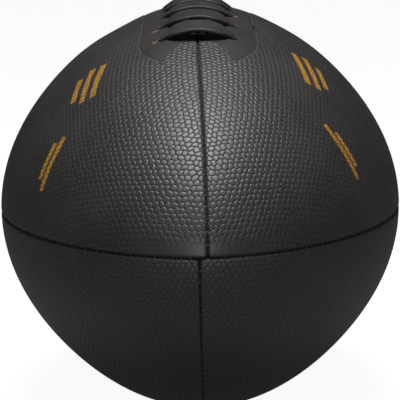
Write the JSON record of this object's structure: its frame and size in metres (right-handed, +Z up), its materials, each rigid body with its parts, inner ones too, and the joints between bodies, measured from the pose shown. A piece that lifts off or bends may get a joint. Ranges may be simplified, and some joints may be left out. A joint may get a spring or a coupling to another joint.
{
  "type": "american football",
  "caption": "Inflated pointed ball of sewn leather panels with a laced top seam, lining, bladder and valve.",
  "frame": {"origin": "under the middle of the ball, level with its lowest point, laces up", "axes": "+Y along the ball's long axis, away from the tip nearest the camera; +Z up through the laces; +X to the right"},
  "size_m": [0.1716, 0.282, 0.1755],
  "materials": {
    "panel_leather": "pebbled black leather, satin",
    "lining_cloth": "woven cotton cloth",
    "seam_thread": "waxed black thread",
    "facing_leather": "undyed split leather, dull",
    "lace_strap": "smooth coated black strap, satin",
    "bladder_rubber": "black butyl rubber, dull",
    "valve_rubber": "moulded black rubber",
    "valve_core_rubber": "soft red rubber"
  },
  "bodies": {
    "root": {"panel_upper_left": "panel_leather", "panel_upper_right": "panel_leather", "panel_lower_left": "panel_leather", "panel_lower_right": "panel_leather", "lining_upper_left": "lining_cloth", "lining_upper_right": "lining_cloth", "lining_lower_left": "lining_cloth", "lining_lower_right": "lining_cloth", "seam_thread_left": "seam_thread", "seam_thread_right": "seam_thread", "seam_thread_bottom": "seam_thread", "seam_thread_top_front": "seam_thread", "seam_thread_top_rear": "seam_thread", "lace_facing_left": "facing_leather", "lace_facing_right": "facing_leather", "lace_tongue": "facing_leather", "lace": "lace_strap", "lace_strand": "lace_strap", "bladder": "bladder_rubber", "valve_body": "valve_rubber", "valve_core": "valve_core_rubber"}
  },
  "joints": []
}
